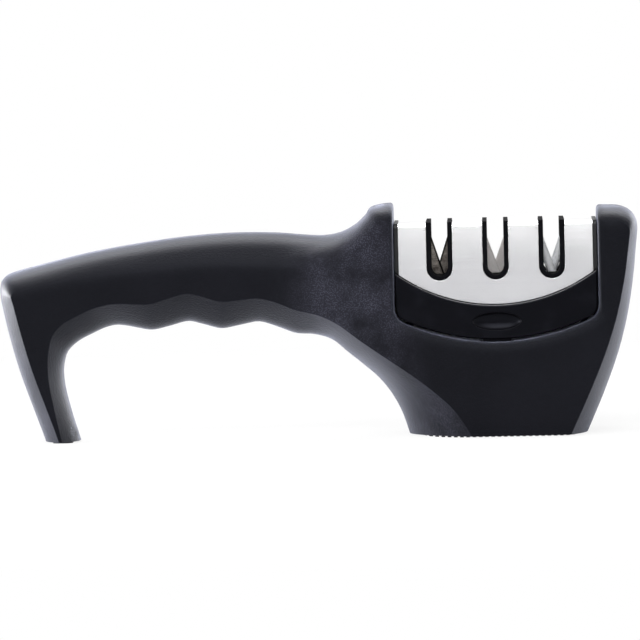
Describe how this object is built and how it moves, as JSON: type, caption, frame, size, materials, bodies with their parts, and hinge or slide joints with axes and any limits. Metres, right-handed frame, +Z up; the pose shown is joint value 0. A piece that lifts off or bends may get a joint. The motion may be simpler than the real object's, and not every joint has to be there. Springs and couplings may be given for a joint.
{
  "type": "pull-through knife sharpener",
  "caption": "Pull-through knife sharpener with a hooked grip and a lift-out cartridge of sharpening slots under a steel cover.",
  "frame": {"origin": "on the table plane, at the underside of the base pad, straight under the middle knife slot", "axes": "+X along the body away from the hooked grip, -Y the front that the picture shows, +Z up from the table"},
  "size_m": [0.2058, 0.046, 0.0748],
  "materials": {
    "shell_plastic": "satin black moulded plastic with a fine grain",
    "inner_plastic": "plain black moulded plastic",
    "liner_plastic": "black moulded plastic, slightly smoother than the shells",
    "panel_plastic": "glossy black plastic",
    "cover_steel": "brushed stainless steel, grain along the length",
    "foot_rubber": "ribbed black rubber",
    "fastener_steel": "plain steel",
    "spring_steel": "thin spring strip",
    "carbide": "dark ground carbide",
    "diamond_grit": "sandy diamond-coated steel",
    "ceramic": "unglazed white ceramic"
  },
  "bodies": {
    "body": {"front_shell": "shell_plastic", "rear_shell": "shell_plastic", "base_plate": "inner_plastic", "base_pad": "foot_rubber", "hook_pad": "foot_rubber", "shell_screws": "fastener_steel", "base_screws": "fastener_steel"},
    "cartridge": {"cartridge_housing": "inner_plastic", "steel_cover": "cover_steel", "cartridge_floor": "inner_plastic", "cartridge_screws": "fastener_steel", "coarse_slot_liner": "liner_plastic", "medium_slot_liner": "liner_plastic", "fine_slot_liner": "liner_plastic", "carbide_blade_left": "carbide", "carbide_blade_right": "carbide", "diamond_bar_left": "diamond_grit", "diamond_bar_right": "diamond_grit", "ceramic_rod_left": "ceramic", "ceramic_rod_right": "ceramic", "front_hinge_pin": "fastener_steel", "rear_hinge_pin": "fastener_steel", "front_release_spring": "spring_steel", "rear_release_spring": "spring_steel"},
    "front_release": {"front_release_panel": "panel_plastic"},
    "rear_release": {"rear_release_panel": "panel_plastic"}
  },
  "joints": [
    {"name": "cartridge_lift", "type": "slide", "parent": "body", "child": "cartridge", "axis": [0, 0, 1], "range_m": [0, 0.055]},
    {"name": "front_release_swing", "type": "hinge", "parent": "cartridge", "child": "front_release", "pos_m": [0, -0.0134, 0.0478], "axis": [1, 0, 0], "range_deg": [0, 5], "stiffness_Nm_per_rad": 0.2, "springref_deg": -5.73, "deforming": ["front_release_spring"]},
    {"name": "rear_release_swing", "type": "hinge", "parent": "cartridge", "child": "rear_release", "pos_m": [0, 0.0134, 0.0478], "axis": [-1, 0, 0], "range_deg": [0, 5], "stiffness_Nm_per_rad": 0.2, "springref_deg": -5.73, "deforming": ["rear_release_spring"]}
  ]
}
